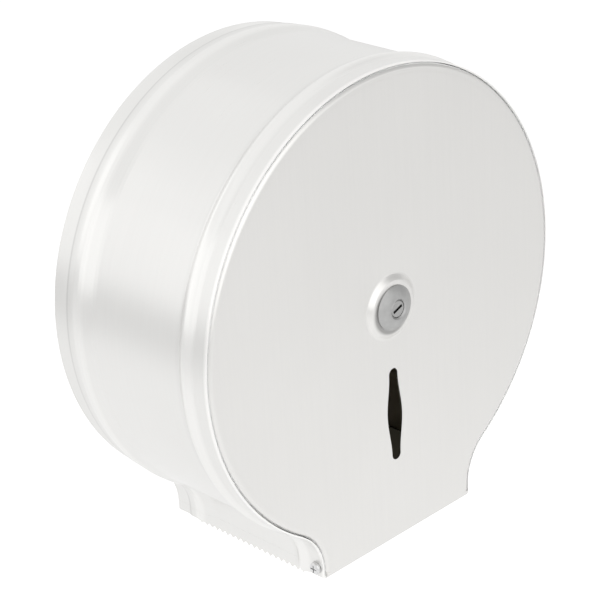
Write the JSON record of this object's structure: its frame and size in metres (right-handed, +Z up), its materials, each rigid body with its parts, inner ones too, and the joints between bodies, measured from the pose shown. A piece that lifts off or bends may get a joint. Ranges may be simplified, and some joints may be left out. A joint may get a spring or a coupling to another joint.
{
  "type": "jumbo toilet roll dispenser",
  "caption": "Round brushed-steel wall dispenser for a jumbo toilet roll, with a drop-down door, key lock, view slot and serrated paper mouth.",
  "frame": {"origin": "on the wall plane, on the axis of the spindle, which is also the middle of the four wall screw holes", "axes": "+Z up, +X to the right seen from the front, +Y into the wall; the door faces -Y"},
  "size_m": [0.2688, 0.1262, 0.2797],
  "materials": {
    "satin_steel": "brushed stainless steel, fine upright grain, satin",
    "blade_steel": "stainless strip, rolled finish",
    "bracket_steel": "zinc-plated steel, dull",
    "fastener_zinc": "zinc-plated steel, bright",
    "stainless_screw": "stainless steel, turned",
    "lock_metal": "die-cast zinc, satin nickel",
    "nylon": "moulded nylon, natural white, fine texture",
    "acetal": "plain white acetal washer"
  },
  "bodies": {
    "housing": {"back_pan": "satin_steel", "drum_shell": "satin_steel", "tear_blade_left": "blade_steel", "tear_blade_right": "blade_steel", "drum_clips": "bracket_steel", "clip_screws": "fastener_zinc", "clinch_nuts": "fastener_zinc", "spindle_foot": "bracket_steel", "foot_screws_csk": "fastener_zinc", "spindle_tube": "bracket_steel", "latch_cap": "fastener_zinc", "cap_screws": "fastener_zinc", "hub_back_washer": "acetal", "hub_front_washer": "acetal"},
    "hub": {"core_hub": "nylon"},
    "door": {"door_panel": "satin_steel", "hinge_nuts": "fastener_zinc", "hinge_washers": "acetal", "pivot_screws": "stainless_screw", "lock_housing": "lock_metal", "lock_washer": "fastener_zinc", "lock_nut": "fastener_zinc"},
    "lock": {"key_plug": "lock_metal", "plug_circlip": "fastener_zinc", "lock_cam": "fastener_zinc", "cam_washer": "fastener_zinc", "cam_screw": "fastener_zinc"}
  },
  "joints": [
    {"name": "door_hinge", "type": "hinge", "parent": "housing", "child": "door", "pos_m": [0, -0.1135, -0.1368], "axis": [1, 0, 0], "range_deg": [0, 100]},
    {"name": "lock_turn", "type": "hinge", "parent": "door", "child": "lock", "pos_m": [0, -0.11, 0], "axis": [0, 1, 0], "range_deg": [0, 90]},
    {"name": "hub_spin", "type": "hinge", "parent": "housing", "child": "hub", "pos_m": [0, -0.05, 0], "axis": [0, 1, 0], "continuous": true}
  ]
}
